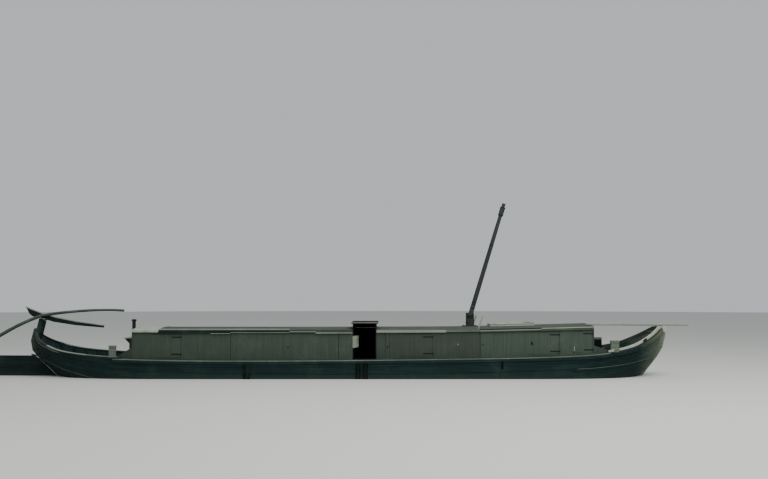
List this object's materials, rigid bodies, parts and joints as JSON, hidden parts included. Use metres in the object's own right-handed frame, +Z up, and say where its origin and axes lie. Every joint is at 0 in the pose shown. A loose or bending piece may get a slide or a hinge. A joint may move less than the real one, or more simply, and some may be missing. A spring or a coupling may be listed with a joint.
{
  "type": "wooden river barge",
  "caption": "Small flat-bottomed wooden river barge with pointed raised ends, a long low deckhouse, a lowering mast and a large hung rudder.",
  "frame": {"origin": "on the underside of the flat bottom, amidships on the centreline", "axes": "+X to the bow, +Y to port, +Z up"},
  "size_m": [25.1368, 3.1204, 6.603],
  "materials": {
    "tarred_planking": "tarred oak planks, worn at the waterline",
    "weathered_timber": "bare weathered oak",
    "white_paint": "white oil paint on timber",
    "deck_boards": "walked deck boards",
    "house_paint": "grey-green oil paint on upright boards",
    "roof_boards": "weathered roof boards",
    "dark_timber": "oiled dark spar",
    "stove_iron": "sooty iron pipe"
  },
  "bodies": {
    "hull": {"hull_side_port": "tarred_planking", "hull_side_starboard": "tarred_planking", "bottom_planking": "tarred_planking", "stem_post": "white_paint", "stern_post": "weathered_timber", "rail_port": "weathered_timber", "rail_starboard": "weathered_timber", "bow_strake_port": "weathered_timber", "bow_strake_starboard": "weathered_timber", "stern_gunwale_port": "weathered_timber", "stern_gunwale_starboard": "weathered_timber", "bow_bulwark_port": "white_paint", "bow_bulwark_starboard": "white_paint", "side_deck_port": "deck_boards", "side_deck_starboard": "deck_boards", "stern_floor": "deck_boards", "bow_floor": "deck_boards", "house_wall_aft_port": "house_paint", "house_wall_aft_starboard": "house_paint", "house_wall_hold_port": "house_paint", "house_wall_hold_starboard": "house_paint", "house_wall_cabin_port": "house_paint", "house_wall_cabin_starboard": "house_paint", "house_end_aft": "house_paint", "house_end_fore": "house_paint", "roof_aft": "roof_boards", "roof_hold": "roof_boards", "roof_cabin": "roof_boards", "companion_hood": "house_paint", "tabernacle": "dark_timber", "stove_pipe": "stove_iron", "quant_pole": "weathered_timber"},
    "rudder": {"rudder_blade": "tarred_planking", "tiller": "weathered_timber", "steering_beam": "weathered_timber"},
    "mast": {"mast": "dark_timber"},
    "hatch_lid": {"hatch_lid": "white_paint"},
    "shutter_aft_port": {"shutter_aft_port": "house_paint"},
    "shutter_aft_starboard": {"shutter_aft_starboard": "house_paint"},
    "shutter_hold_port": {"shutter_hold_port": "house_paint"},
    "shutter_hold_starboard": {"shutter_hold_starboard": "house_paint"},
    "shutter_cabin_port": {"shutter_cabin_port": "house_paint"},
    "shutter_cabin_starboard": {"shutter_cabin_starboard": "house_paint"},
    "shutter_fore_port": {"shutter_fore_port": "house_paint"},
    "shutter_fore_starboard": {"shutter_fore_starboard": "house_paint"},
    "door_port": {"door_port": "house_paint"},
    "half_door_starboard": {"half_door_starboard": "weathered_timber"}
  },
  "joints": [
    {"name": "rudder_turn", "type": "hinge", "parent": "hull", "child": "rudder", "pos_m": [-11, 0, 1.22], "axis": [0.225, 0, 0.9744], "range_deg": [-35, 35]},
    {"name": "mast_lower", "type": "hinge", "parent": "hull", "child": "mast", "pos_m": [4.21, 0, 2.64], "axis": [0, 1, 0], "range_deg": [-105, 0]},
    {"name": "hatch_lift", "type": "hinge", "parent": "hull", "child": "hatch_lid", "pos_m": [6.395, 0, 2.42], "axis": [0, 1, 0], "range_deg": [0, 100]},
    {"name": "shutter_aft_port_swing", "type": "hinge", "parent": "hull", "child": "shutter_aft_port", "pos_m": [-5.59, 1.1373, 1.68], "axis": [0, 0, -1], "range_deg": [0, 120]},
    {"name": "shutter_aft_starboard_swing", "type": "hinge", "parent": "hull", "child": "shutter_aft_starboard", "pos_m": [-5.59, -1.1373, 1.68], "axis": [0, 0, 1], "range_deg": [0, 120]},
    {"name": "shutter_hold_port_swing", "type": "hinge", "parent": "hull", "child": "shutter_hold_port", "pos_m": [2.856, 1.1373, 1.7], "axis": [0, 0, -1], "range_deg": [0, 120]},
    {"name": "shutter_hold_starboard_swing", "type": "hinge", "parent": "hull", "child": "shutter_hold_starboard", "pos_m": [2.856, -1.1373, 1.7], "axis": [0, 0, 1], "range_deg": [0, 120]},
    {"name": "shutter_cabin_port_swing", "type": "hinge", "parent": "hull", "child": "shutter_cabin_port", "pos_m": [7.112, 1.1373, 1.77], "axis": [0, 0, -1], "range_deg": [0, 120]},
    {"name": "shutter_cabin_starboard_swing", "type": "hinge", "parent": "hull", "child": "shutter_cabin_starboard", "pos_m": [7.112, -1.1373, 1.77], "axis": [0, 0, 1], "range_deg": [0, 120]},
    {"name": "shutter_fore_port_swing", "type": "hinge", "parent": "hull", "child": "shutter_fore_port", "pos_m": [8.236, 1.1373, 1.82], "axis": [0, 0, -1], "range_deg": [0, 120]},
    {"name": "shutter_fore_starboard_swing", "type": "hinge", "parent": "hull", "child": "shutter_fore_starboard", "pos_m": [8.236, -1.1373, 1.82], "axis": [0, 0, 1], "range_deg": [0, 120]},
    {"name": "door_port_swing", "type": "hinge", "parent": "hull", "child": "door_port", "pos_m": [0.192, 1.0727, 1.6], "axis": [0, 0, -1], "range_deg": [0, 90]},
    {"name": "half_door_starboard_swing", "type": "hinge", "parent": "hull", "child": "half_door_starboard", "pos_m": [0.192, -1.0727, 1.8], "axis": [0, 0, -1], "range_deg": [-18, 72]}
  ]
}
